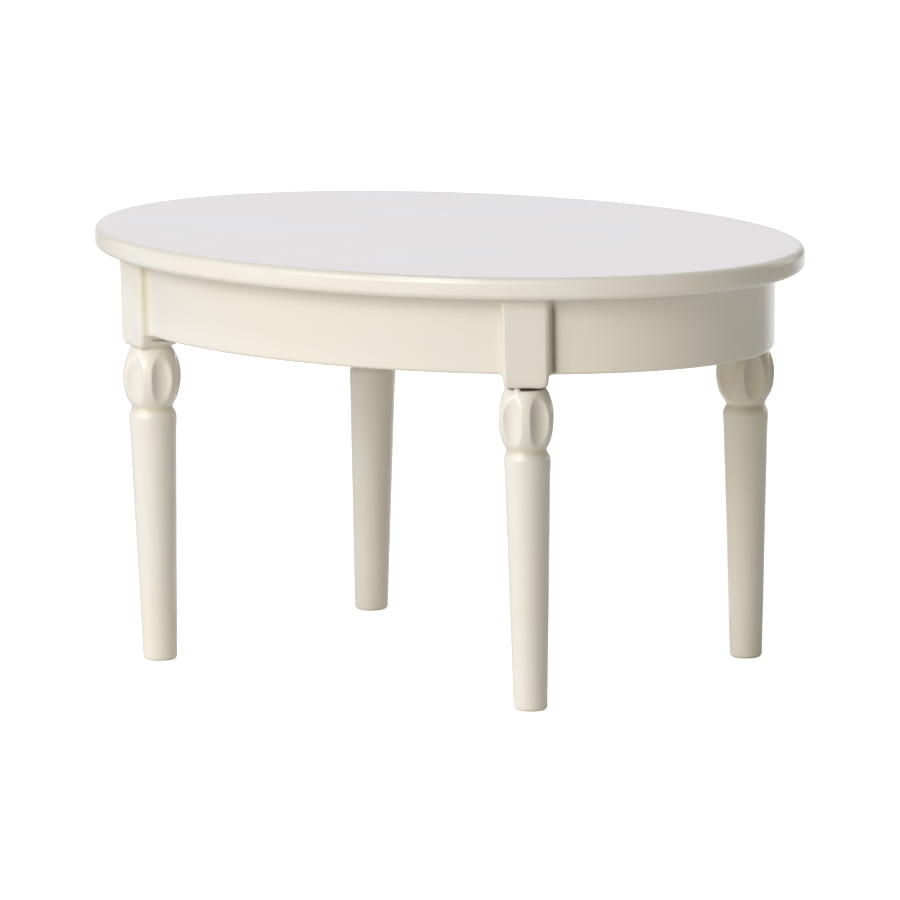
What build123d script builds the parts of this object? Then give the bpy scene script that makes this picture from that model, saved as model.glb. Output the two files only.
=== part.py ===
from build123d import *
import math
import os

# Miniature oval dining table on four turned legs, in millimetres, +Z up.
# The origin is on the floor under the centre of the oval top.
# +X runs along the long axis of the oval; -Y is the front, a long side.

os.makedirs("parts", exist_ok=True)

# ---------------------------------------------------------------------------
# Dimensions
# ---------------------------------------------------------------------------
# Top
top_length = 150.0
top_width = 104.3
table_height = 81.25          # floor to upper face of the top
top_thickness = 4.25
top_upper_round = 1.35
top_lower_round = 1.15

# Apron: four curved rails on one oval, set back under the top
apron_setback = 5.6           # edge of the top to outer face of the apron
apron_thickness = 4.5
apron_height = 14.45
apron_outer_round = 0.45      # outer lower edge
apron_inner_round = 0.3       # inner lower edge

# Leg blocks: square in plan, turned so the outer face follows the oval
leg_x = 45.45                 # leg axis from the centre, along the long axis
leg_y = 32.98                 # leg axis from the centre, along the short axis
block_side = 8.5
block_drop = 2.25             # block continues this far below the apron
block_vertical_round = 0.95
block_lower_round = 0.75

# Foot and tapered shaft of the turned legs
foot_radius = 3.18
foot_round = 0.8
foot_flare = 0.02             # extra radius where the foot round meets the taper
shoulder_radius = 4.42        # rounded head of the shaft
shoulder_z = 46.30
taper_end_inset = 0.08        # end of the straight taper, inside the shoulder radius
taper_end_drop = 2.1          # and below the shoulder

# Neck: narrowest ring between shaft and bulb
neck_radius = 3.82
neck_z = 48.42
shoulder_lip_inset = 0.13     # lower lip of the shoulder, inside the shoulder radius
shoulder_lip_drop = 1.15      # and below the neck
neck_entry_flare = 0.14       # point just below the neck, outside the neck radius
neck_entry_drop = 0.42        # and below the neck

# Bulb: (radius, height above the floor), from just above the neck upward
bulb_profile = [
    (4.10, 49.18), (4.58, 50.00), (4.96, 50.85), (5.30, 51.95),
    (5.51, 53.10), (5.58, 54.30), (5.52, 55.45), (5.34, 56.45),
    (5.04, 57.45), (4.62, 58.45), (4.20, 59.35),
]
bulb_top_radius = 3.80        # where the bulb meets the block

# Hollow flutes around each bulb, leaning slightly outward at the top
flute_count = 6
flute_mid_z = 53.8
flute_floor_radius = 4.50     # leg axis to the deepest line of a flute, at flute_mid_z
flute_cutter_radius = 3.6
flute_cutter_length = 11.4
flute_lean = 2.4              # degrees

# Round tenon on the top of each leg, glued in the block
tenon_radius = 2.0
tenon_length = 8.6
tenon_chamfer = 0.4
tenon_glue_room = 0.5         # bore is deeper than the tenon by this much

# Dowels: rail to block (horizontal) and block to top (vertical)
dowel_radius = 1.0
dowel_chamfer = 0.2
dowel_end_room = 0.25         # glue room at each end of a dowel bore
rail_dowel_length = 5.0
rail_dowel_z = 73.3
rail_dowel_offset = -0.55     # from the block centre; negative is toward the table centre
top_dowel_length = 7.2
top_dowel_in_top = 2.3        # depth of the vertical dowel in the top

cut_overrun = 1.0             # cutters pass open faces by this much

# Derived sizes and heights
top_radius_x = top_length / 2
top_radius_y = top_width / 2
apron_radius_x = top_radius_x - apron_setback
apron_radius_y = top_radius_y - apron_setback
top_under = table_height - top_thickness
apron_bottom = top_under - apron_height
block_bottom = apron_bottom - block_drop
top_dowel_z = top_under + top_dowel_in_top - top_dowel_length / 2


# ---------------------------------------------------------------------------
# Leg positions
# ---------------------------------------------------------------------------
def outward_normal(x, y):
    """Normal of the top's edge at the point of it nearest to (x, y)."""
    t = math.atan2(y * top_radius_x, x * top_radius_y)
    # Newton steps: the line from (x, y) to the edge ends up square to the edge
    for _ in range(60):
        edge_x, edge_y = top_radius_x * math.cos(t), top_radius_y * math.sin(t)
        tangent_x, tangent_y = -top_radius_x * math.sin(t), top_radius_y * math.cos(t)
        gap_x, gap_y = edge_x - x, edge_y - y
        error = gap_x * tangent_x + gap_y * tangent_y
        slope = tangent_x**2 + tangent_y**2 - gap_x * edge_x - gap_y * edge_y
        t -= error / slope
    return math.cos(t) / top_radius_x, math.sin(t) / top_radius_y


corner_signs = {
    "front_left": (-1, -1),
    "front_right": (1, -1),
    "back_left": (-1, 1),
    "back_right": (1, 1),
}
normal_x, normal_y = outward_normal(leg_x, leg_y)

# Corner name: leg axis x, y and plan angle (degrees) of the block's outward normal
corners = {
    name: (
        sign_x * leg_x,
        sign_y * leg_y,
        math.degrees(math.atan2(sign_y * normal_y, sign_x * normal_x)),
    )
    for name, (sign_x, sign_y) in corner_signs.items()
}


# ---------------------------------------------------------------------------
# Shared shapes
# ---------------------------------------------------------------------------
def oval(radius_x, radius_y):
    """Oval face built from four quarter arcs, so its seams sit on the two axes."""
    arcs = [
        EllipticalCenterArc((0, 0), radius_x, radius_y, start_angle=90 * q, arc_size=90)
        for q in range(4)
    ]
    return make_face(arcs)


def dowel(length):
    """Dowel along Z, centred on the origin, both ends chamfered."""
    body = Cylinder(dowel_radius, length)
    return chamfer(body.edges().filter_by(GeomType.CIRCLE), dowel_chamfer)


def dowel_bore(length):
    """Cutter for a dowel of this length, with glue room at both ends."""
    return Cylinder(dowel_radius, length + 2 * dowel_end_room)


def at_rail_joints(corner, body):
    """Copies of a Z-axis body laid across the two side faces of a corner's block."""
    x, y, angle = corner
    return [
        Pos(x, y, rail_dowel_z)
        * Rot(0, 0, angle)
        * Pos(rail_dowel_offset, side * block_side / 2, 0)
        * Rot(90, 0, 0)
        * body
        for side in (-1, 1)
    ]


def at_top_joint(corner, body):
    """A Z-axis body placed on the leg axis, between block and top."""
    x, y, _ = corner
    return Pos(x, y, top_dowel_z) * body


# ---------------------------------------------------------------------------
# Pieces
# ---------------------------------------------------------------------------
def make_table_top():
    """Oval board with soft edges and four blind dowel bores below."""
    board = Pos(0, 0, top_under) * extrude(oval(top_radius_x, top_radius_y), top_thickness)
    board = fillet(board.faces().sort_by(Axis.Z)[-1].edges(), top_upper_round)
    board = fillet(board.faces().sort_by(Axis.Z)[0].edges(), top_lower_round)
    for corner in corners.values():
        board -= at_top_joint(corner, dowel_bore(top_dowel_length))
    return board


def make_leg_block(corner):
    """Square block bored for the leg tenon, two rail dowels and one top dowel."""
    x, y, angle = corner
    block = extrude(Rectangle(block_side, block_side), top_under - block_bottom)
    block = fillet(block.edges().filter_by(Axis.Z), block_vertical_round)
    block = fillet(block.faces().sort_by(Axis.Z)[0].edges(), block_lower_round)
    block = Pos(x, y, block_bottom) * Rot(0, 0, angle) * block

    bore_depth = tenon_length + tenon_glue_room
    bore_mid_z = block_bottom + (bore_depth - cut_overrun) / 2
    block -= Pos(x, y, bore_mid_z) * Cylinder(tenon_radius, bore_depth + cut_overrun)
    for bore in at_rail_joints(corner, dowel_bore(rail_dowel_length)):
        block -= bore
    block -= at_top_joint(corner, dowel_bore(top_dowel_length))
    return block


def make_apron_rails():
    """One oval ring, parted by the blocks into four rails, keyed by side."""
    outer = extrude(oval(apron_radius_x, apron_radius_y), apron_height)
    outer = fillet(outer.faces().sort_by(Axis.Z)[0].edges(), apron_outer_round)
    inner_oval = oval(apron_radius_x - apron_thickness, apron_radius_y - apron_thickness)
    inner = extrude(inner_oval, apron_height)
    ring = Pos(0, 0, apron_bottom) * (outer - inner)
    inner_low_edges = ring.faces().sort_by(Axis.Z)[0].inner_wires()[0].edges()
    ring = fillet(inner_low_edges, apron_inner_round)

    block_cutter = Box(block_side, block_side, apron_height + 2 * cut_overrun)
    for x, y, angle in corners.values():
        ring -= Pos(x, y, apron_bottom + apron_height / 2) * Rot(0, 0, angle) * block_cutter
    for corner in corners.values():
        for bore in at_rail_joints(corner, dowel_bore(rail_dowel_length)):
            ring -= bore

    rails = {}
    for rail in ring.solids():
        center = rail.center()
        if abs(center.X) > abs(center.Y):
            side = "right" if center.X > 0 else "left"
        else:
            side = "back" if center.Y > 0 else "front"
        rails[side] = rail
    return rails


def make_leg():
    """One leg on the Z axis, foot on the floor, a flute facing +X."""
    tenon_top = block_bottom + tenon_length
    foot_flat = (foot_radius - foot_round, 0)
    arc_inset = foot_round * (1 - math.sqrt(0.5))
    foot_end = (foot_radius + foot_flare, foot_round)
    taper_end = (shoulder_radius - taper_end_inset, shoulder_z - taper_end_drop)

    with BuildPart() as turning:
        with BuildSketch(Plane.XZ):
            with BuildLine():
                Line((0, 0), foot_flat)
                ThreePointArc(foot_flat, (foot_radius - arc_inset, arc_inset), foot_end)
                Line(foot_end, taper_end)
                Spline(
                    taper_end,
                    (shoulder_radius, shoulder_z),
                    (shoulder_radius - shoulder_lip_inset, neck_z - shoulder_lip_drop),
                    (neck_radius + neck_entry_flare, neck_z - neck_entry_drop),
                    (neck_radius, neck_z),
                    *bulb_profile,
                    (bulb_top_radius, block_bottom),
                )
                Polyline(
                    (bulb_top_radius, block_bottom),
                    (tenon_radius, block_bottom),
                    (tenon_radius, tenon_top - tenon_chamfer),
                    (tenon_radius - tenon_chamfer, tenon_top),
                    (0, tenon_top),
                    (0, 0),
                )
            make_face()
        revolve(axis=Axis.Z)
    leg = turning.part

    cutter = Rot(0, flute_lean, 0) * Cylinder(flute_cutter_radius, flute_cutter_length)
    cutter = Pos(flute_floor_radius + flute_cutter_radius, 0, flute_mid_z) * cutter
    for i in range(flute_count):
        leg -= Rot(0, 0, 360 * i / flute_count) * cutter
    return leg


def make_rail_dowels():
    """Eight horizontal dowels, two at each block."""
    pin = dowel(rail_dowel_length)
    return Compound([
        placed.solids()[0]
        for corner in corners.values()
        for placed in at_rail_joints(corner, pin)
    ])


def make_top_dowels():
    """Four vertical dowels, one at each block."""
    pin = dowel(top_dowel_length)
    return Compound([at_top_joint(corner, pin).solids()[0] for corner in corners.values()])


# ---------------------------------------------------------------------------
# Export
# ---------------------------------------------------------------------------
export_step(make_table_top(), "parts/table_top.step")

for side, rail in make_apron_rails().items():
    export_step(rail, f"parts/apron_{side}.step")

leg = make_leg()
for name, corner in corners.items():
    export_step(make_leg_block(corner), f"parts/leg_block_{name}.step")
    x, y, angle = corner
    # a ridge between two flutes faces straight out with the block
    placed_leg = Pos(x, y, 0) * Rot(0, 0, angle + 180 / flute_count) * leg
    export_step(placed_leg, f"parts/leg_{name}.step")

export_step(make_rail_dowels(), "parts/apron_dowels.step")
export_step(make_top_dowels(), "parts/top_dowels.step")
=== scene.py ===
"""A small oval table in cream gloss enamel: board, four apron rails, four blocks, four turned legs.

The floor is z = 0 and the table's centre is the origin. The long axis of the oval runs along X;
the front is -Y and the right is +X. Lengths are in millimetres until a mesh or camera is made.
"""
import bpy
import math
import numpy as np
from mathutils import Matrix, Vector


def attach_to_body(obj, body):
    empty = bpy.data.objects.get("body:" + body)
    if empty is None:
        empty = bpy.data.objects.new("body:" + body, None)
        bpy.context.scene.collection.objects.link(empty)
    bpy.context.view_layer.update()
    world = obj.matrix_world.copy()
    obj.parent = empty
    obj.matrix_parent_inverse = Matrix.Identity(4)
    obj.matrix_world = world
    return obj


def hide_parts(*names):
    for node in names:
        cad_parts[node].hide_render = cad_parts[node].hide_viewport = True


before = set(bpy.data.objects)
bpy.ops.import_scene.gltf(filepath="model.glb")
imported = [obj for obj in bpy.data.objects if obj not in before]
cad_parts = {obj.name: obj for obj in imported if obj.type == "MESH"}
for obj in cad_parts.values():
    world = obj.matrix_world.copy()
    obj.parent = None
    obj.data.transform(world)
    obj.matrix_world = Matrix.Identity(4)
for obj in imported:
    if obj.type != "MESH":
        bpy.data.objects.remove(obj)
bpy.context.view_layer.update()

scene = bpy.context.scene
MM = 0.001

# ---------------------------------------------------------------------------
# Driving sizes
# ---------------------------------------------------------------------------
TOP_A, TOP_B = 75.0, 52.15              # half axes of the board
HEIGHT, THICK = 81.25, 4.25
UNDER = HEIGHT - THICK                  # underside of the board
SETBACK, RAIL_THICK, APRON_DEPTH = 5.6, 4.5, 14.45
RAIL_A, RAIL_B = TOP_A - SETBACK, TOP_B - SETBACK
APRON_Z = UNDER - APRON_DEPTH           # underside of the rails
LEG_X, LEG_Y = 45.45, 32.98
BLOCK_SIDE = 8.5
BLOCK_Z = APRON_Z - 2.25                # underside of the leg blocks
CORNERS = {"front_left": (-1, -1), "front_right": (1, -1),
           "back_left": (-1, 1), "back_right": (1, 1)}
TOP_FILLET = 0.45                       # paint fillet where blocks, rails and legs meet a ceiling


# ---------------------------------------------------------------------------
# Curves and paint shapes
# ---------------------------------------------------------------------------
def oval_normal(t, a, b):
    x, y = np.cos(t) / a, np.sin(t) / b
    length = np.hypot(x, y)
    return x / length, y / length


def oval_lengths(t, a, b):
    """Running length along an oval at each parameter in t."""
    speed = np.hypot(a * np.sin(t), b * np.cos(t))
    return np.concatenate([[0], np.cumsum((speed[1:] + speed[:-1]) / 2 * np.diff(t))])


def nearest_normal(px, py):
    """Normal of the board's rim at its point nearest to (px, py), by Newton's method."""
    t = math.atan2(py * TOP_A, px * TOP_B)
    for _ in range(60):
        x, y = TOP_A * math.cos(t), TOP_B * math.sin(t)
        dx, dy = -TOP_A * math.sin(t), TOP_B * math.cos(t)
        slope = (x - px) * dx + (y - py) * dy
        t -= slope / (dx * dx + dy * dy + (x - px) * (-x) + (y - py) * (-y))
    return oval_normal(t, TOP_A, TOP_B)


LEG_NORMAL = nearest_normal(LEG_X, LEG_Y)


def wave(seed, *coords):
    """Smooth unevenness, about -1 to 1, from a few sine waves over any coordinates in mm."""
    rng = np.random.RandomState(seed)
    total = 0
    for k in range(7):
        freq = rng.normal(size=len(coords)) * (0.05 + 0.055 * k)
        phase = rng.uniform(0, 2 * math.pi)
        angle = sum(c * f for c, f in zip(coords, freq)) * 2 * math.pi * 0.5 + phase
        total = total + np.sin(angle) / (1 + 0.6 * k)
    return total / 2.6


def fillet_flare(dist, radius):
    """How far a paint fillet stands out at a distance from the inside corner."""
    u = np.clip((radius - dist) / radius, 0, 1)
    return radius * (1 - np.sqrt(np.clip(1 - u * u, 0, 1)))


def smooth(x):
    x = np.clip(x, 0, 1)
    return x * x * (3 - 2 * x)


def bell(x, width):
    return np.exp(-(x / width) ** 2)


def soft_min(a, b, blend):
    h = np.clip(0.5 + 0.5 * (b - a) / blend, 0, 1)
    return b * (1 - h) + a * h - blend * h * (1 - h)


def arc(z_centre, radius, start, end, count):
    """Points (radial, z) on an arc centred on radial 0, angles in degrees."""
    angles = np.radians(np.linspace(start, end, count))
    return [(radius * math.cos(a), z_centre + radius * math.sin(a)) for a in angles]


# ---------------------------------------------------------------------------
# Mesh helpers
# ---------------------------------------------------------------------------
def mesh_object(name, verts, faces):
    mesh = bpy.data.meshes.new(name)
    mesh.from_pydata((np.asarray(verts, float) * MM).tolist(), [], faces)
    mesh.validate()
    mesh.update()
    mesh.polygons.foreach_set("use_smooth", [True] * len(mesh.polygons))
    ob = bpy.data.objects.new(name, mesh)
    scene.collection.objects.link(ob)
    return ob


def tube(name, rings):
    """Closed skin over rings shaped (n_rings, n_around, 3), both ends closed by fans."""
    rings = np.asarray(rings, float)
    n, m, _ = rings.shape
    verts = rings.reshape(-1, 3).tolist()
    faces = []
    for i in range(n - 1):
        a, b = i * m, (i + 1) * m
        for j in range(m):
            k = (j + 1) % m
            faces.append((a + j, a + k, b + k, b + j))
    verts += [rings[0].mean(axis=0).tolist(), rings[-1].mean(axis=0).tolist()]
    first, last = n * m, n * m + 1
    start = (n - 1) * m
    faces += [((j + 1) % m, j, first) for j in range(m)]
    faces += [(start + j, start + (j + 1) % m, last) for j in range(m)]
    return mesh_object(name, verts, faces)


def mark(ob, **layers):
    """Store paint marks, one number per vertex; the centres of the end fans stay 0.

    pool: collected paint and painted shade; edge: thin paint on an edge; grime: painted shade in
    dark lines and bands.
    """
    for key, values in layers.items():
        full = np.zeros(len(ob.data.vertices))
        flat = np.asarray(values, float).reshape(-1)
        full[:len(flat)] = flat
        layer = ob.data.attributes.new(key, "FLOAT", "POINT")
        layer.data.foreach_set("value", np.clip(full, 0, 1).astype(np.float32))


# ---------------------------------------------------------------------------
# Table top
# ---------------------------------------------------------------------------
FACE_INSET = 6.0            # the flat faces inside this inset are filled by scaled rings
FACE_SCALES = (0.02, 0.1, 0.25, 0.4, 0.55, 0.7, 0.82, 0.9, 0.96)


def rim_profile():
    """Rim section from the upper face round to the underside: (inset, z)."""
    upper, lower = 1.4, 1.2             # radii of the two rounded edges
    points = [(FACE_INSET, HEIGHT), (4.0, HEIGHT), (3.0, HEIGHT - 0.002), (2.4, HEIGHT - 0.006),
              (2.0, HEIGHT - 0.014), (1.75, HEIGHT - 0.028)]
    points += [(upper - r, z) for r, z in arc(HEIGHT - upper, upper, 78, 8, 16)]
    points += [(0.012, HEIGHT - 1.55), (0.0, HEIGHT - 1.9), (-0.01, HEIGHT - 2.2),
               (0.0, HEIGHT - 2.55), (0.012, HEIGHT - 2.85)]
    points += [(lower - r, z) for r, z in arc(UNDER + lower, lower, -8, -78, 14)]
    points += [(1.5, UNDER + 0.02), (1.8, UNDER + 0.008), (2.4, UNDER), (3.5, UNDER),
               (FACE_INSET, UNDER)]
    return points


def build_top():
    around = 720
    # even spacing along the rim
    dense = np.linspace(0, 2 * math.pi, 20001)
    lengths = oval_lengths(dense, TOP_A, TOP_B)
    t = np.interp(np.linspace(0, lengths[-1], around, endpoint=False), lengths, dense)
    rim_x, rim_y = TOP_A * np.cos(t), TOP_B * np.sin(t)
    nx, ny = oval_normal(t, TOP_A, TOP_B)
    uneven = 0.035 * wave(3, rim_x * 0.6, rim_y * 0.6)
    face = np.stack([rim_x - FACE_INSET * nx, rim_y - FACE_INSET * ny], axis=1)
    rings = [np.column_stack([face * f, np.full(around, HEIGHT)]) for f in FACE_SCALES]
    for depth, z in rim_profile():
        inset = depth - uneven * math.exp(-max(depth, 0) / 1.2)
        rings.append(np.column_stack([rim_x - inset * nx, rim_y - inset * ny,
                                      np.full(around, z)]))
    rings += [np.column_stack([face * f, np.full(around, UNDER)]) for f in FACE_SCALES[::-1]]
    rings = np.array(rings)[::-1]       # from the underside up, so that the skin faces out
    ob = tube("table_top_board", rings)
    x, y, z = rings[:, :, 0], rings[:, :, 1], rings[:, :, 2]
    reach = np.hypot(x / TOP_A, y / TOP_B)
    lip = bell(z - (HEIGHT - 0.35), 0.35) + bell(z - (UNDER + 0.3), 0.35)
    # painted shade, with collected paint, on the underside along the line of the rails
    below = (z < UNDER + 0.01) & (reach > 0.5)
    rail_line = bell(np.hypot(x / RAIL_A, y / RAIL_B) - 1.0, 0.012)
    mark(ob, edge=0.25 * lip * np.clip((reach - 0.97) / 0.02, 0, 1), pool=below * rail_line * 0.8)
    return ob


# ---------------------------------------------------------------------------
# Leg block placing
# ---------------------------------------------------------------------------
# turn: degrees off square to the oval; arris: radius of the painted upright corners, mm;
# drip: how far paint hangs below the underside at one corner, mm
BLOCK_HAND = {
    "front_left": {"turn": 8.5, "arris": 0.92, "drip": 0.32},
    "front_right": {"turn": 6.0, "arris": 0.70, "drip": 0.06},
    "back_left": {"turn": 0.0, "arris": 0.75, "drip": 0.06},
    "back_right": {"turn": 0.0, "arris": 0.75, "drip": 0.06},
}


def square_heading(corner):
    """Plan angle that looks out squarely from the oval at a corner."""
    sx, sy = CORNERS[corner]
    return math.atan2(sy * LEG_NORMAL[1], sx * LEG_NORMAL[0])


def block_frame(corner):
    """A block's centre, its outward direction, and the direction a quarter turn on from that."""
    sx, sy = CORNERS[corner]
    a = square_heading(corner) + math.radians(BLOCK_HAND[corner]["turn"])
    out = np.array([math.cos(a), math.sin(a)])
    return np.array([sx * LEG_X, sy * LEG_Y]), out, np.array([-out[1], out[0]])


# ---------------------------------------------------------------------------
# Apron rails
# ---------------------------------------------------------------------------
END_SINK = 0.08             # how far the rail ends sink into the blocks
INNER_FILL = 0.6            # paint fillet at the ends of the inner face
RAIL_LEAN = 0.26            # how far the outer face draws in from top to bottom
# distances from a rail end at which its sections crowd
END_STATIONS = np.array([
    0, 0.05, 0.1, 0.16, 0.23, 0.31, 0.4, 0.5, 0.61, 0.7, 0.76,
    0.82, 0.88, 0.94, 1.0, 1.06, 1.12, 1.2, 1.32, 1.46, 1.65])
# paint ramp beside the front right block, split by an open seam: (distance from block, height)
SEAM_DIST, SEAM_HEIGHT = np.array([
    (0, 1.95), (0.1, 1.7), (0.3, 1.22), (0.5, 0.78), (0.62, 0.45), (0.70, 0.22), (0.77, -0.05),
    (0.84, -0.28), (0.90, -0.30), (0.98, -0.22), (1.08, -0.13), (1.25, -0.05), (1.6, -0.01),
    (2.1, 0.0)]).T
SEAM_REACH = SEAM_DIST[-1]
SEAM_AT = 0.87              # distance of the seam's dark line from the block


def rail_section():
    """Rail outline, from the top of the outer face down, under and up the inner face.

    Columns: depth from the outer face, z, push (+1 outer skin, -1 inner skin),
    low (share of the droop at the ends).
    """
    outer, inner = 0.6, 0.35            # radii of the bottom edges
    section = [(0.0, UNDER - drop, 1.0, 0.0)
               for drop in (0, 0.05, 0.12, 0.2, 0.3, 0.42, 0.6, 1.0)]
    section += [(0.0, float(z), 1.0, 0.0)
                for z in np.linspace(UNDER - 2.2, APRON_Z + outer + 0.6, 12)]
    section += [(outer - r, z, 1.0, min(1.0, (APRON_Z + outer - z) / outer))
                for r, z in arc(APRON_Z + outer, outer, 0, -90, 10)]
    section += [(depth, APRON_Z, push, 1.0) for depth, push in (
        (0.9, 0.8), (1.5, 0.5), (2.2, 0.2), (3.0, -0.2), (RAIL_THICK - 0.8, -0.6))]
    section += [(RAIL_THICK - inner + r, z, -1.0, max(0.0, (APRON_Z + inner - z) / inner))
                for r, z in arc(APRON_Z + inner, inner, -90, 0, 8)]
    section += [(RAIL_THICK, float(z), -1.0, 0.0)
                for z in np.linspace(APRON_Z + inner + 0.5, UNDER - 1.0, 7)]
    section += [(RAIL_THICK, UNDER - drop, -1.0, 0.0) for drop in (0.5, 0.3, 0.15, 0)]
    return section + [(RAIL_THICK - 1.2, UNDER, -0.3, 0.0), (1.2, UNDER, 0.3, 0.0)]


def rail_end(depth, corner, side, t):
    """Parameter on the oval at a depth where it meets the side plane of a block, from a guess."""
    centre, _, across = block_frame(corner)
    a, b = RAIL_A - depth, RAIL_B - depth
    target = side * (BLOCK_SIDE / 2 - END_SINK)
    for _ in range(40):
        point = np.array([a * math.cos(t), b * math.sin(t)])
        slope = np.array([-a * math.sin(t), b * math.cos(t)])
        t -= ((point - centre) @ across - target) / (slope @ across)
    return t


def open_seam(dist, z, flare):
    """Paint flare and painted shade on the outer skin beside the split paint ramp."""
    strength = float(smooth((UNDER - z - 0.2) / 2.5)) * float(smooth((z - APRON_Z - 0.1) / 0.6))
    split = np.interp(dist, SEAM_DIST, SEAM_HEIGHT)
    whole = np.maximum(SEAM_HEIGHT, 0.1 * (SEAM_REACH - SEAM_DIST) / SEAM_REACH)
    whole = np.interp(dist, SEAM_DIST, whole)
    flare = np.where(dist < SEAM_REACH, whole * (1 - strength) + split * strength, flare)
    # painted shade: a dark line in the seam's groove, and darker bands beside it on both sides
    off = dist - SEAM_AT
    beside = np.where(dist < SEAM_AT, 0.16 + 0.34 * bell(off, 0.4), 0.60 * bell(off, 0.62))
    return flare, np.maximum(0.55 * bell(off, 0.12), beside) * strength * (dist > -0.02)


def build_rail(name, first, last, guesses, seed, droop, fill, seam):
    """Rail running anticlockwise, seen from above, from block `first` to block `last`.

    guesses: rough end angles in degrees; droop: radii by which paint hangs at the two ends;
    fill: radii of the paint fillets against the two blocks.
    """
    out_first, out_last = block_frame(first)[1], block_frame(last)[1]
    columns, pools, edges, grimes = [], [], [], []
    for depth, z, push, low in rail_section():
        a, b = RAIL_A - depth, RAIL_B - depth
        dense = np.linspace(rail_end(depth, first, 1, math.radians(guesses[0])),
                            rail_end(depth, last, -1, math.radians(guesses[1])), 4001)
        lengths = oval_lengths(dense, a, b)
        length = lengths[-1]
        stations = np.concatenate([END_STATIONS, np.linspace(2.0, length - 2.0, 110),
                                   length - END_STATIONS[::-1]])
        t = np.interp(stations, lengths, dense)
        # near the ends the normals turn to follow the blocks
        normal = np.stack(oval_normal(t, a, b), axis=1)
        turn_first = smooth(1 - stations / 3.0)[:, None]
        turn_last = smooth(1 - (length - stations) / 3.0)[:, None]
        normal = (normal * (1 - turn_first - turn_last)
                  + out_first * turn_first + out_last * turn_last)
        normal = normal / np.linalg.norm(normal, axis=1)[:, None]

        skin = abs(push) == 1.0
        fill_0, fill_1 = fill if push > 0 else (INNER_FILL, INNER_FILL)
        dist_0, dist_1 = stations - END_SINK, length - stations - END_SINK
        flare_0, flare_1 = fillet_flare(dist_0, fill_0), fillet_flare(dist_1, fill_1)
        share = np.maximum(flare_0 / fill_0, flare_1 / fill_1)
        flare = np.maximum(flare_0, flare_1)
        grime = np.zeros(len(t))
        if seam and push > 0 and depth < 0.3:
            flare, grime = open_seam(dist_0, z, flare)
        top_flare = float(fillet_flare(UNDER - z, TOP_FILLET)) if skin else 0.0
        out = push * (flare + top_flare * (1 - 0.6 * share))
        out = out - RAIL_LEAN * max(push, 0) * (UNDER - z) / APRON_DEPTH
        if skin:
            out = out + 0.014 * wave(seed, stations * 0.8, np.full(len(t), z * 0.8))
        sag = fillet_flare(dist_0, droop[0]) + fillet_flare(dist_1, droop[1])
        heights = z - low * sag + 0.03 * low * wave(seed + 5, stations * 0.7)
        columns.append(np.stack([a * np.cos(t) + out * normal[:, 0],
                                 b * np.sin(t) + out * normal[:, 1], heights], axis=1))

        # collected paint and painted shade in the corners at the blocks, and painted shade under
        # the board
        corner = np.maximum(np.clip(1 - dist_0 / (1.25 * fill_0), 0, 1),
                            np.clip(1 - dist_1 / (1.25 * fill_1), 0, 1)) ** 1.5
        ceiling = max(0.0, 1 - (UNDER - z) / 0.9) ** 1.5
        pools.append(np.maximum(corner * 0.45, ceiling * 0.8))
        grimes.append(grime)
        lip = bell(z - (APRON_Z + 0.2), 0.35) if depth < 1.0 else 0.0
        edges.append(lip * (1 - np.clip(corner * 2, 0, 1)))
    ob = tube(name, np.array(columns).transpose(1, 0, 2))
    mark(ob, pool=np.array(pools).T, edge=np.array(edges).T, grime=np.array(grimes).T)
    return ob


# ---------------------------------------------------------------------------
# Leg blocks
# ---------------------------------------------------------------------------
BLOCK_ROUND = 0.72          # radius of the block's bottom edges
# painted shade: the dark line lies on the blocks' side faces just under the rails' bottom edges
SHADOW_LINE_Z = 62.0           # height of a fine dark line across the two side faces


def square_outline(half, radius, n_side=16, n_corner=14):
    points = []
    straight = half - radius
    for k in range(4):
        a0 = k * math.pi / 2
        turn = np.array([[math.cos(a0), -math.sin(a0)], [math.sin(a0), math.cos(a0)]])
        side = np.linspace(-1, 1, n_side + 2)[1:-1]
        for y in np.sign(side) * np.abs(side) ** 0.75 * straight:
            points.append(turn @ np.array([half, y]))
        for a in np.linspace(0, math.pi / 2, n_corner):
            points.append(turn @ np.array([straight + radius * math.cos(a),
                                           straight + radius * math.sin(a)]))
    return np.array(points)


def block_levels():
    """Sections from the top down, across the bottom edge and in under the block: (z, inset)."""
    zs = [UNDER - drop for drop in (0, 0.05, 0.12, 0.2, 0.3, 0.45, 0.8)]
    zs += np.linspace(UNDER - 1.6, BLOCK_Z + 2.8, 14).tolist()
    zs += [BLOCK_Z + up for up in (2.5, 2.3, 2.15, 2.0, 1.85, 1.7, 1.55, 1.4, 1.25, 1.1, 0.9)]
    levels = [(z, 0.0) for z in zs]
    levels += [(BLOCK_Z + BLOCK_ROUND * (1 - math.sin(a)), BLOCK_ROUND * (1 - math.cos(a)))
               for a in np.radians(np.linspace(4, 90, 11))]
    return levels + [(BLOCK_Z, inset) for inset in (0.95, 1.25, 1.6, 2.0, 2.6)]


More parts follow.
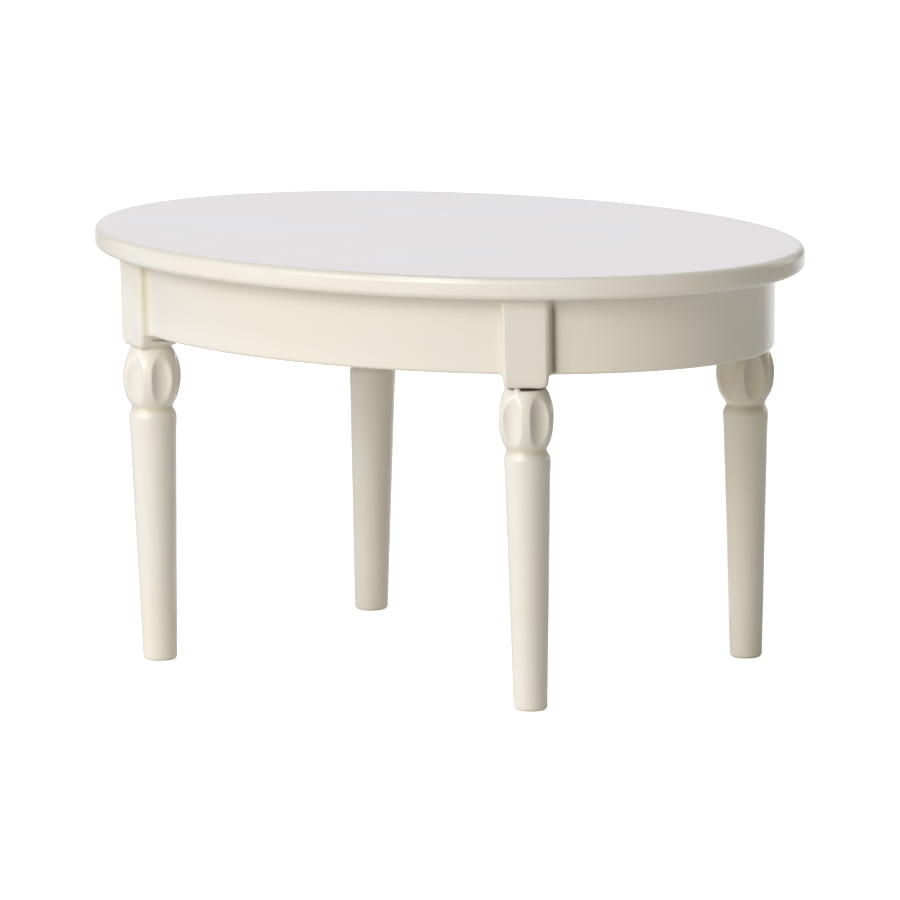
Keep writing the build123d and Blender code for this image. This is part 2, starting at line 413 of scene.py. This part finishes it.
def build_block(corner, seed):
    centre, out, across = block_frame(corner)
    hand = BLOCK_HAND[corner]
    rings, pools, edges, grimes = [], [], [], []
    for z, inset in block_levels():
        flare = float(fillet_flare(UNDER - z, TOP_FILLET))
        low = bell(z - BLOCK_Z, 1.1)
        half = (BLOCK_SIDE / 2 + 0.06 - 0.13 * (UNDER - z) / (UNDER - BLOCK_Z)
                - 0.12 * low - inset + flare)
        outline = square_outline(half, hand["arris"] + 0.5 * min(inset, 0.9) + flare + 0.35 * low)
        uneven = 0.03 * wave(seed, outline[:, 0] * 1.5, outline[:, 1] * 1.5,
                             np.full(len(outline), z * 0.8))
        outline = outline * (1 + uneven / BLOCK_SIDE)[:, None]
        plan = centre + outline[:, :1] * out + outline[:, 1:] * across
        x, y = outline.T
        bottom = max(0.0, 1 - (z - BLOCK_Z) / 1.2)
        sag = 0.04 * wave(seed + 3, x * 1.1, y * 1.1) * bottom
        drop = hand["drip"] * np.exp(-((x - 3.3) ** 2 + (y - 2.6) ** 2) / 1.3 ** 2) * bottom
        rings.append(np.column_stack([plan, z + sag - drop]))

        # painted shade under the board and on the block's underside, with collected paint
        ceiling = max(0.0, 1 - (UNDER - z) / 0.9) ** 1.5 * 0.8
        pools.append(np.full(len(outline), ceiling + (inset > 0.9)))
        to_arris = np.maximum(np.abs(np.abs(x) - half), np.abs(np.abs(y) - half))
        arris = bell(to_arris, 0.5) * (z < UNDER - 0.6)
        edges.append(np.maximum(arris, 0.8 * bell(z - BLOCK_Z - 0.15, 0.3)))
        # painted shadow line on the side faces, just under the rail's bottom edge, where the rail
        # shades the block
        shadow_line = bell(z - (SHADOW_LINE_Z - 0.10 * (half - x)), 0.22) * (np.abs(y) > half - 0.3)
        grimes.append(shadow_line * np.clip((2.1 - x) / 0.8, 0, 1) * 0.75)
    # turned over, from the bottom up, so that the skin faces out
    ob = tube("block_" + corner, np.array(rings)[::-1])
    mark(ob, pool=np.array(pools)[::-1], edge=np.array(edges)[::-1],
         grime=np.array(grimes)[::-1])
    return ob


# ---------------------------------------------------------------------------
# Turned legs
# ---------------------------------------------------------------------------
# turned outline above the straight taper: (radius, z)
PROFILE = [
    (4.405, 44.15), (4.48, 45.30), (4.53, 46.40), (4.50, 46.90), (4.39, 47.28), (4.21, 47.66),
    (4.01, 48.04), (3.90, 48.45), (3.98, 48.82), (4.19, 49.20), (4.44, 49.60), (4.66, 50.00),
    (4.98, 50.75), (5.26, 51.65), (5.48, 52.75), (5.60, 54.10), (5.56, 55.30), (5.41, 56.25),
    (5.20, 57.05), (4.93, 57.80), (4.61, 58.50), (4.20, 59.30), (4.00, 59.70), (3.76, 60.30),
]
SHAFT_RADIUS, SHAFT_Z = PROFILE[0]
LEG_TOP = PROFILE[-1][1]
FOOT_RADIUS, FOOT_ROUND = 3.25, 0.8
FLUTE_FLOOR, FLUTE_RADIUS = 4.40, 2.8
JOINT_COVER = 4.0           # half side of the square that the top fillet stays within
# Each leg was turned and glued by hand. turn: flutes, degrees; bulb: girth; shaft: girth at its
# top and at the foot; offset: how far bulb, shaft top and foot stand off the block's axis, mm;
# painted_bulb_shade: how much painted shade darkens and yellows the bulb; soft: how far paint
# rounds the flute borders, mm; fill: how far it fills their floors, mm
LEG_HAND = {
    "front_left": {"turn": 3.0, "bulb": 1.0, "shaft": (1.0, 0.985),
                   "offset": (0.18, 0.22, 0.76), "painted_bulb_shade": 0.0, "soft": 0.46, "fill": 0.09},
    "front_right": {"turn": 6.5, "bulb": 0.975, "shaft": (0.955, 0.952),
                    "offset": (-0.14, 0.0, -0.01), "painted_bulb_shade": 0.0, "soft": 0.27, "fill": 0.0},
    "back_left": {"turn": -7.0, "bulb": 1.0, "shaft": (0.99, 0.985),
                  "offset": (-0.12, -0.22, -1.14), "painted_bulb_shade": 0.25, "soft": 0.27, "fill": 0.0},
    "back_right": {"turn": -1.5, "bulb": 1.0, "shaft": (0.950, 0.928),
                   "offset": (-0.09, -0.10, -0.45), "painted_bulb_shade": 1.0, "soft": 0.27, "fill": 0.0},
}
OFFSET_DIR = (0.775, 0.632)  # plan direction of the offsets, towards the back right
# the opened joint: (degrees from the heading GAP_HEADING, gap in mm)
GAP_HEADING = -50.8
GAP_DEG, GAP_MM = np.array([
    (-180, 0.02), (-72, 0.02), (-62, 0.14), (-54, 0.22), (-38, 0.22), (-33, 0.02), (-20, 0.02),
    (-15, 0.36), (-6, 0.42), (20, 0.38), (45, 0.38), (66, 0.34), (82, 0.20), (100, 0.04),
    (180, 0.02)]).T


def spline_radius(zq):
    """Natural cubic spline through the turned profile, radius as a function of height."""
    r, z = np.array(PROFILE).T
    n = len(z)
    h = np.diff(z)
    m = np.zeros((n, n))
    rhs = np.zeros(n)
    m[0, 0] = m[-1, -1] = 1
    for i in range(1, n - 1):
        m[i, i - 1], m[i, i], m[i, i + 1] = h[i - 1], 2 * (h[i - 1] + h[i]), h[i]
        rhs[i] = 6 * ((r[i + 1] - r[i]) / h[i] - (r[i] - r[i - 1]) / h[i - 1])
    k = np.linalg.solve(m, rhs)
    i = np.clip(np.searchsorted(z, zq) - 1, 0, n - 2)
    a, b = z[i + 1] - zq, zq - z[i]
    return ((k[i] * a**3 + k[i + 1] * b**3) / (6 * h[i]) + (r[i] / h[i] - k[i] * h[i] / 6) * a
            + (r[i + 1] / h[i] - k[i + 1] * h[i] / 6) * b)


def turned_radius(z):
    """Radius of the plain turning: rounded foot, straight taper, then the profile."""
    if z < FOOT_ROUND:
        rise = math.sqrt(max(FOOT_ROUND**2 - (FOOT_ROUND - z) ** 2, 0))
        return FOOT_RADIUS - FOOT_ROUND + rise + 0.02 * z / FOOT_ROUND
    if z > SHAFT_Z:
        return float(spline_radius(min(z, LEG_TOP)))
    low = FOOT_RADIUS + 0.02
    return low + (SHAFT_RADIUS - low) * (z - FOOT_ROUND) / (SHAFT_Z - FOOT_ROUND)


def leg_levels():
    levels = np.concatenate([
        FOOT_ROUND * (1 - np.sin(np.radians(np.linspace(90, 0, 14)))),
        np.linspace(FOOT_ROUND + 0.5, 43.5, 52),
        np.linspace(44.2, 46.2, 10),
        np.linspace(46.35, 49.8, 34),
        np.linspace(49.93, 59.4, 74),
        np.linspace(59.5, 60.0, 7),
        [60.05, 60.1, 60.14, 60.18, 60.22, 60.26, LEG_TOP]])
    return np.unique(np.round(levels, 4))


def build_leg(corner, seed, cracked):
    centre, outward, _ = block_frame(corner)
    hand = LEG_HAND[corner]
    around = 264
    theta = np.linspace(0, 2 * math.pi, around, endpoint=False)
    cos, sin = np.cos(theta), np.sin(theta)
    # angle from the middle of the nearest of the six flutes
    flute_turn = square_heading(corner) + math.radians(30 + hand["turn"])
    phi = (theta - flute_turn + math.pi / 6) % (math.pi / 3) - math.pi / 6
    facing = math.atan2(outward[1], outward[0])
    cover = JOINT_COVER / np.maximum(np.abs(np.cos(theta - facing)), np.abs(np.sin(theta - facing)))
    if cracked:
        turned = theta - math.radians(GAP_HEADING)
        deg = np.degrees((turned + math.pi) % (2 * math.pi) - math.pi)
        gap = np.interp(deg, GAP_DEG, GAP_MM)
        blob = bell(deg + 26.5, 6.0)    # a bead of paint bridging the gap

    def ring(level, radius, heights):
        """Ring round the leg's own axis, which wanders off the block's with height."""
        bulb, shaft_top, foot = hand["offset"]
        off = np.interp(level, [0, 46.0, 49.0, LEG_TOP], [foot, shaft_top, bulb, bulb])
        return np.column_stack([centre[0] + off * OFFSET_DIR[0] + radius * cos,
                                centre[1] + off * OFFSET_DIR[1] + radius * sin,
                                np.full(around, heights)])

    rings, raw_strips, pools, edges, grimes = [], [], [], [], []
    for z in leg_levels():
        shaft = np.interp(z, [0, 46], hand["shaft"][::-1])
        k = float(smooth((z - 48.4) / 3.4))
        size = shaft * (1 - k) + hand["bulb"] * k
        base = turned_radius(z) * size
        radius = np.full(around, base)
        border = np.zeros(around)
        if 49.0 < z < 60.0:
            floor_r = FLUTE_FLOOR + hand["fill"] + 0.13 * max(0.0, (z - 54.6) / 3.5) ** 2
            reach = floor_r + FLUTE_RADIUS
            side = reach * np.sin(phi)
            cut = reach * np.cos(phi) - np.sqrt(np.clip(FLUTE_RADIUS**2 - side**2, 0, None))
            cut = np.where(np.abs(side) >= FLUTE_RADIUS, 99.0, cut) * size
            border = bell(radius - cut, 0.16) * (0.5 if base > 4.7 else 0.2)
            radius = soft_min(radius, cut, hand["soft"])
        heights = np.full(around, z)
        if cracked:
            heights = heights - gap * smooth((z - 58.9) / 1.4)
            radius = (radius + 0.22 * blob * bell(z - 60.0, 0.55)
                      - 0.06 * smooth((z - 60.1) / 0.2) * (1 - blob))
        else:
            flare = float(fillet_flare(BLOCK_Z - z, TOP_FILLET))
            radius = radius + np.clip(np.minimum(flare, cover - radius), 0, None)
        uneven = wave(seed, radius * cos * 1.3, radius * sin * 1.3, np.full(around, z * 0.4))
        radius = radius + 0.018 * uneven * min(1.0, z / 0.8)
        rings.append(ring(z, radius, heights))

        # collected paint and painted shade in the neck's crease and where the leg meets the block
        waist = bell(z - 48.35, 0.55)
        joint = 0.0 if cracked else max(0.0, 1 - (BLOCK_Z - z) / 0.7)
        carved = np.clip((base - radius) / 0.6, 0, 1)
        # painted shade: the bulb is painted darker and yellower, more so in the flutes
        shade_on_bulb = hand["painted_bulb_shade"] * smooth((z - 48.6) / 1.2) * (0.72 + 0.28 * carved)
        pools.append(np.maximum(max(waist, joint), shade_on_bulb))
        # painted shade along the edges of the open crack
        grimes.append(np.clip(gap / 0.25, 0, 1) * 0.8 * bell(z - 60.25, 0.16)
                      if cracked else np.zeros(around))
        edges.append(np.maximum(border, 0.6 * bell(z - 0.25, 0.3)))

    if cracked:
        # the leg's bare top, then a bare core up into the block
        core = [(3.6, BLOCK_Z - gap + 0.01), (3.3, BLOCK_Z - gap + 0.01),
                (3.25, BLOCK_Z + 0.05), (3.25, BLOCK_Z + 0.3)]
        for core_radius, heights in core:
            rings.append(ring(LEG_TOP, core_radius, heights))
            raw_strips.append(len(rings) - 2)
    else:
        for z, scale in ((60.42, 1.0), (60.6, 0.97), (60.9, 0.85)):
            rings.append(ring(LEG_TOP, radius * scale, z))
    extra = len(rings) - len(pools)
    pools += [np.ones(around)] * extra
    edges += [np.zeros(around)] * extra
    grimes += [np.zeros(around)] * extra
    ob = tube("leg_turned_" + corner, rings)
    mark(ob, pool=pools, edge=edges, grime=grimes)
    ob["raw_rings"] = raw_strips
    ob["around"] = around
    return ob


# ---------------------------------------------------------------------------
# Shader helpers
# ---------------------------------------------------------------------------
def set_inputs(tree, node, inputs):
    """Link each input given as a socket; set the others as values."""
    for key, value in inputs.items():
        if isinstance(value, bpy.types.NodeSocket):
            tree.links.new(value, node.inputs[key])
        else:
            node.inputs[key].default_value = value


def add_node(tree, kind, inputs=None, **settings):
    node = tree.nodes.new("ShaderNode" + kind)
    for key, value in settings.items():
        setattr(node, key, value)
    set_inputs(tree, node, inputs or {})
    return node


def add_math(tree, operation, *inputs, kind="Math"):
    return add_node(tree, kind, dict(enumerate(inputs)), operation=operation).outputs


def new_material(name):
    mat = bpy.data.materials.new(name)
    mat.use_nodes = True
    return mat, mat.node_tree, mat.node_tree.nodes["Principled BSDF"]


# ---------------------------------------------------------------------------
# Materials
# ---------------------------------------------------------------------------
CREAM = (0.82, 0.768, 0.672)


def tint(r, g, b):
    """The cream multiplied channel by channel."""
    return tuple(c * k for c, k in zip(CREAM, (r, g, b))) + (1,)


def enamel(name, peel_mm, grain):
    """Cream gloss enamel. peel_mm: depth of the relief; grain: stroke frequency along x, y, z."""
    mat, tree, bsdf = new_material(name)
    coord = add_node(tree, "TexCoord").outputs["Object"]

    def noise(scale, detail, rough, vector=coord):
        return add_node(tree, "TexNoise", {"Scale": scale, "Detail": detail, "Roughness": rough,
                                           "Vector": vector}).outputs["Fac"]

    def ramp(source, start, end, low=0.0, high=1.0):
        return add_node(tree, "MapRange", {
            "From Min": start, "From Max": end, "To Min": low, "To Max": high,
            "Value": source}, interpolation_type="SMOOTHSTEP").outputs["Result"]

    def mix(factor, a, b):
        # the colour sockets of a Mix node are inputs 6 and 7 and output 2
        return add_node(tree, "Mix", {"Factor": factor, 6: a, 7: b}, data_type="RGBA").outputs[2]

    def attribute(key):
        return add_node(tree, "Attribute", attribute_name=key).outputs["Fac"]

    def multiply(a, b):
        return add_math(tree, "MULTIPLY", a, b)[0]

    # slow drift of tone over a few centimetres, and a finer mottle
    drift = noise(scale=38.0, detail=2.0, rough=0.5)
    mottle = noise(scale=260.0, detail=3.0, rough=0.55)
    tone = mix(ramp(drift, start=0.35, end=0.65),
               tint(r=1.0, g=0.985, b=0.955), tint(r=0.998, g=1.006, b=1.022))
    tone = mix(ramp(mottle, start=0.3, end=0.7, high=0.22),
               tone, tint(r=0.972, g=0.972, b=0.972))
    # collected paint and painted shade are darker and yellower; on sharp edges paint runs thin and
    # warm
    pool, edge = attribute("pool"), attribute("edge")
    breakup = noise(scale=330.0, detail=2.0, rough=0.6)
    collected_paint_and_shade = multiply(pool, ramp(breakup, start=0.25, end=0.7, low=0.45, high=0.8))
    tone = mix(collected_paint_and_shade, tone, tint(r=0.86, g=0.80, b=0.64))
    thin = multiply(edge, ramp(breakup, start=0.42, end=0.75, low=0.06, high=0.5))
    tone = mix(thin, tone, tint(r=0.93, g=0.86, b=0.72))
    # painted shade: dark brown in and beside the seam, along the crack and under the rails
    shade_brown = (0.19, 0.160, 0.105, 1)
    tone = mix(attribute("grime"), tone, shade_brown)
    # sparse dust specks: a dot at the centre of a few cells
    cells = add_node(tree, "TexVoronoi", {"Scale": 150.0, "Vector": coord})
    dot = ramp(cells.outputs["Distance"], start=0.012, end=0.022, low=1.0, high=0.0)
    cell_pick = add_node(tree, "SeparateColor", {"Color": cells.outputs["Color"]}).outputs[0]
    speck = multiply(dot, ramp(cell_pick, start=0.93, end=0.94))
    speck_strength, speck_colour = 0.5, (0.36, 0.31, 0.22, 1)
    tone = mix(multiply(speck, speck_strength), tone, speck_colour)
    # gloss, a little duller in patches
    dull = noise(scale=70.0, detail=3.0, rough=0.6)
    set_inputs(tree, bsdf, {
        "Base Color": tone,
        "Roughness": ramp(dull, start=0.3, end=0.75, low=0.045, high=0.105),
        "IOR": 1.5})
    # orange peel, a long sag wave, and the grain or brushing that shows through
    peel = noise(scale=520.0, detail=1.5, rough=0.5)
    sag = noise(scale=130.0, detail=1.0, rough=0.5)
    stretched = add_node(tree, "Mapping", {"Scale": grain, "Vector": coord}).outputs["Vector"]
    strokes = noise(scale=1.0, detail=3.0, rough=0.55, vector=stretched)
    relief = {}
    for height, share in ((peel, 0.35), (sag, 1.6), (strokes, 0.5)):
        bump = add_node(tree, "Bump", {"Strength": 1.0, "Distance": peel_mm * share * MM,
                                       "Height": height, **relief})
        relief = {"Normal": bump.outputs["Normal"]}
    set_inputs(tree, bsdf, relief)
    return mat


def mottled(name, dark, light, scale, roughness, detail=2.0):
    """Unpainted wood, mottled between two colours."""
    mat, tree, bsdf = new_material(name)
    noise = add_node(tree, "TexNoise", {"Scale": scale, "Detail": detail})
    ramp = add_node(tree, "ValToRGB", {"Fac": noise.outputs["Fac"]})
    ramp.color_ramp.elements[0].color = dark
    ramp.color_ramp.elements[1].color = light
    set_inputs(tree, bsdf, {"Base Color": ramp.outputs["Color"], "Roughness": roughness})
    return mat


enamel_top = enamel("cream_enamel_board", peel_mm=0.004, grain=(60.0, 300.0, 60.0))
enamel_flat = enamel("cream_enamel_rails", peel_mm=0.010, grain=(90.0, 90.0, 420.0))
enamel_leg = enamel("cream_enamel_legs", peel_mm=0.010, grain=(600.0, 600.0, 45.0))
# unpainted wood in the crack, coloured far darker than bare wood: partly the wood's own colour,
# partly painted shade
crack_wood_and_shade = mottled("crack_wood_and_shade", dark=(0.030, 0.018, 0.008, 1), light=(0.085, 0.055, 0.026, 1),
                    scale=900.0, roughness=0.85)
beech = mottled("bare_beech", dark=(0.50, 0.33, 0.18, 1), light=(0.70, 0.52, 0.32, 1),
                scale=700.0, roughness=0.6, detail=4.0)


# ---------------------------------------------------------------------------
# Build every piece
# ---------------------------------------------------------------------------
def attach(ob, node, material):
    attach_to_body(ob, "root")
    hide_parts(node)
    ob.data.materials.append(material)


attach(build_top(), "table_top", enamel_top)

# side, first block, last block, rough end angles, droop, fill
RAILS = (
    ("front", "front_left", "front_right", (232, 308), (0.15, 0.9), (1.3, 1.2)),
    ("right", "front_right", "back_right", (-42, 42), (0.35, 0.45), (1.6, 1.2)),
    ("back", "back_right", "back_left", (52, 128), (0.45, 0.45), (1.2, 1.2)),
    ("left", "back_left", "front_left", (138, 222), (0.45, 0.4), (1.2, 1.2)),
)
for i, (side, first, last, guesses, droop, fill) in enumerate(RAILS):
    rail = build_rail("rail_" + side, first, last, guesses, seed=11 + i, droop=droop, fill=fill,
                      seam=side == "right")
    attach(rail, "apron_" + side, enamel_flat)

for i, corner in enumerate(CORNERS):
    attach(build_block(corner, seed=20 + i), "leg_block_" + corner, enamel_flat)
    cracked = corner == "front_right"
    leg = build_leg(corner, seed=40 + i, cracked=cracked)
    attach(leg, "leg_" + corner, enamel_leg)
    if cracked:
        leg.data.materials.append(crack_wood_and_shade)
        for strip in leg["raw_rings"]:
            for j in range(leg["around"]):
                leg.data.polygons[strip * leg["around"] + j].material_index = 1

for name in ("apron_dowels", "top_dowels"):
    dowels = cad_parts[name]
    dowels.data.materials.clear()
    dowels.data.materials.append(beech)


# ---------------------------------------------------------------------------
# Stage: floor, lamps, room, camera
# ---------------------------------------------------------------------------
def direction(azimuth, elevation):
    """Unit vector from the table, degrees: azimuth 0 is -Y (front), 90 is +X (right)."""
    a, e = math.radians(azimuth), math.radians(elevation)
    return Vector((math.sin(a) * math.cos(e), -math.cos(a) * math.cos(e), math.sin(e)))


def floor_material():
    """Matt floor, lifted for the camera, with a bright sector behind seen only by gloss."""
    camera_lift = 0.72
    glare_azimuth, glare_edge, glare_core, glare_strength = 206, 41, 20, 0.58   # degrees
    mat, tree, bsdf = new_material("floor")
    ray = add_node(tree, "LightPath").outputs
    lift = add_math(tree, "MULTIPLY", ray["Is Camera Ray"], camera_lift)[0]
    position = add_node(tree, "NewGeometry").outputs["Position"]
    flat = add_math(tree, "MULTIPLY", position, (1, 1, 0), kind="VectorMath")[0]
    unit = add_math(tree, "NORMALIZE", flat, kind="VectorMath")[0]
    toward = add_math(tree, "DOT_PRODUCT", unit, direction(glare_azimuth, 0), kind="VectorMath")
    glare = add_node(tree, "MapRange", {
        "From Min": math.cos(math.radians(glare_edge)),
        "From Max": math.cos(math.radians(glare_core)),
        "To Max": glare_strength,
        "Value": toward["Value"]}, interpolation_type="SMOOTHSTEP").outputs["Result"]
    seen = add_math(tree, "MULTIPLY", glare, ray["Is Glossy Ray"])[0]
    set_inputs(tree, bsdf, {
        "Base Color": (0.9, 0.9, 0.9, 1),
        "Roughness": 0.9,
        "Specular IOR Level": 0.0,
        "Emission Color": (0.97, 0.97, 1, 1),
        "Emission Strength": add_math(tree, "ADD", lift, seen)[0]})
    return mat


def build_floor():
    half = 40.0     # metres
    mesh = bpy.data.meshes.new("floor")
    mesh.from_pydata([(-half, -half, 0), (half, -half, 0), (half, half, 0), (-half, half, 0)],
                     [], [(0, 1, 2, 3)])
    floor = bpy.data.objects.new("floor", mesh)
    scene.collection.objects.link(floor)
    mesh.materials.append(floor_material())


build_floor()

# oval lamps in front: azimuth, elevation, width and height in metres, radiance
LAMPS = [
    (-15, 14, 0.40, 0.40, (1.248, 1.161, 1.148)),
    (-30, 28, 0.40, 0.40, (1.551, 1.737, 2.065)),
    (0, 28, 0.40, 0.40, (4.485, 4.524, 5.130)),
    (-22, 62, 0.48, 0.20, (9.0, 9.1, 9.6)),
]
LAMP_DISTANCE, LAMP_AIM_Z = 1.2, 0.05   # metres

for azimuth, elevation, width, height, radiance in LAMPS:
    name = "soft_%d_%d" % (azimuth, elevation)
    toward = direction(azimuth, elevation)
    lamp = bpy.data.lights.new(name, "AREA")
    lamp.shape = "ELLIPSE"
    lamp.size, lamp.size_y = width, height
    peak = max(radiance)
    lamp.energy = math.pi * math.pi * width * height / 4 * peak
    lamp.color = [v / peak for v in radiance]
    ob = bpy.data.objects.new(name, lamp)
    ob.location = toward * LAMP_DISTANCE + Vector((0, 0, LAMP_AIM_Z))
    ob.rotation_euler = toward.to_track_quat("Z", "Y").to_euler()
    ob.visible_camera = False
    scene.collection.objects.link(ob)

# glows of light round the room: azimuth, elevation, tightness, radiance
GLOWS = [
    (-141, 12, 11.5, (0.985, 0.982, 1.062)),
    (-121, 42, 11.5, (0.33, 0.33, 0.36)),
    (-161, 42, 11.5, (0.33, 0.33, 0.36)),
    (-21, 12, 11.5, (1.418, 1.593, 2.017)),
    (9, 12, 11.5, (2.10, 1.81, 0.78)),
    (-1, 42, 11.5, (1.246, 1.408, 1.793)),
    (159, 12, 11.5, (0.75, 0.70, 0.22)),
    (158, 6, 60.0, (1.0, 1.0, 1.2)),
    (174, 6, 60.0, (1.3, 1.3, 1.5)),
    (181, 29, 34.0, (1.25, 1.25, 1.32)),
    (-92, 5, 60.0, (0.9, 0.9, 0.9)),
    (45, 15, 60.0, (0.20, 0.20, 0.19)),
]


def build_world():
    """The sum of the glows, radiance * exp(tightness * (cos(angle) - 1)); white to the camera."""
    world = bpy.data.worlds.new("studio")
    scene.world = world
    world.use_nodes = True
    tree = world.node_tree
    room = tree.nodes["Background"]
    look = add_node(tree, "TexCoord").outputs["Generated"]
    total = None
    for azimuth, elevation, tightness, radiance in GLOWS:
        cosine = add_math(tree, "DOT_PRODUCT", look, direction(azimuth, elevation),
                          kind="VectorMath")["Value"]
        power = add_math(tree, "MULTIPLY_ADD", cosine, tightness, -tightness)[0]
        falloff = add_math(tree, "EXPONENT", power)[0]
        glow = add_math(tree, "MULTIPLY", falloff, radiance, kind="VectorMath")[0]
        total = add_math(tree, "ADD", total, glow, kind="VectorMath")[0] if total else glow
    set_inputs(tree, room, {"Color": total, "Strength": 1.0})
    white = add_node(tree, "Background", {"Color": (1, 1, 1, 1)})
    ray = add_node(tree, "LightPath").outputs
    shown = add_node(tree, "MixShader", {
        "Fac": ray["Is Camera Ray"], 1: room.outputs[0], 2: white.outputs[0]})
    set_inputs(tree, tree.nodes["World Output"], {"Surface": shown.outputs[0]})


build_world()
scene.view_settings.view_transform = "Standard"
scene.view_settings.look = "None"

LENS, SENSOR = 404.348, 36
CAM_AZIMUTH, CAM_ELEVATION, CAM_ROLL = 39.191, 9.170, -0.800    # degrees
CAM_DISTANCE, CAM_RIGHT, CAM_UP = 1915.102, 0.215, 39.296       # shifts along the view's axes


def build_camera():
    azimuth, roll = math.radians(CAM_AZIMUTH), math.radians(CAM_ROLL)
    back = direction(CAM_AZIMUTH, CAM_ELEVATION)
    right = Vector((math.cos(azimuth), math.sin(azimuth), 0))
    up = back.cross(right)
    place = back * CAM_DISTANCE + right * CAM_RIGHT + up * CAM_UP
    rolled_right = right * math.cos(roll) + up * math.sin(roll)
    rolled_up = -right * math.sin(roll) + up * math.cos(roll)
    camera = bpy.data.cameras.new("camera")
    camera.sensor_width = SENSOR
    camera.lens = LENS
    camera.clip_start, camera.clip_end = 0.05, 200
    ob = bpy.data.objects.new("camera", camera)
    rows = [(rolled_right[i], rolled_up[i], back[i], place[i] * MM) for i in range(3)]
    ob.matrix_world = Matrix(rows + [(0, 0, 0, 1)])
    scene.collection.objects.link(ob)
    scene.camera = ob


build_camera()
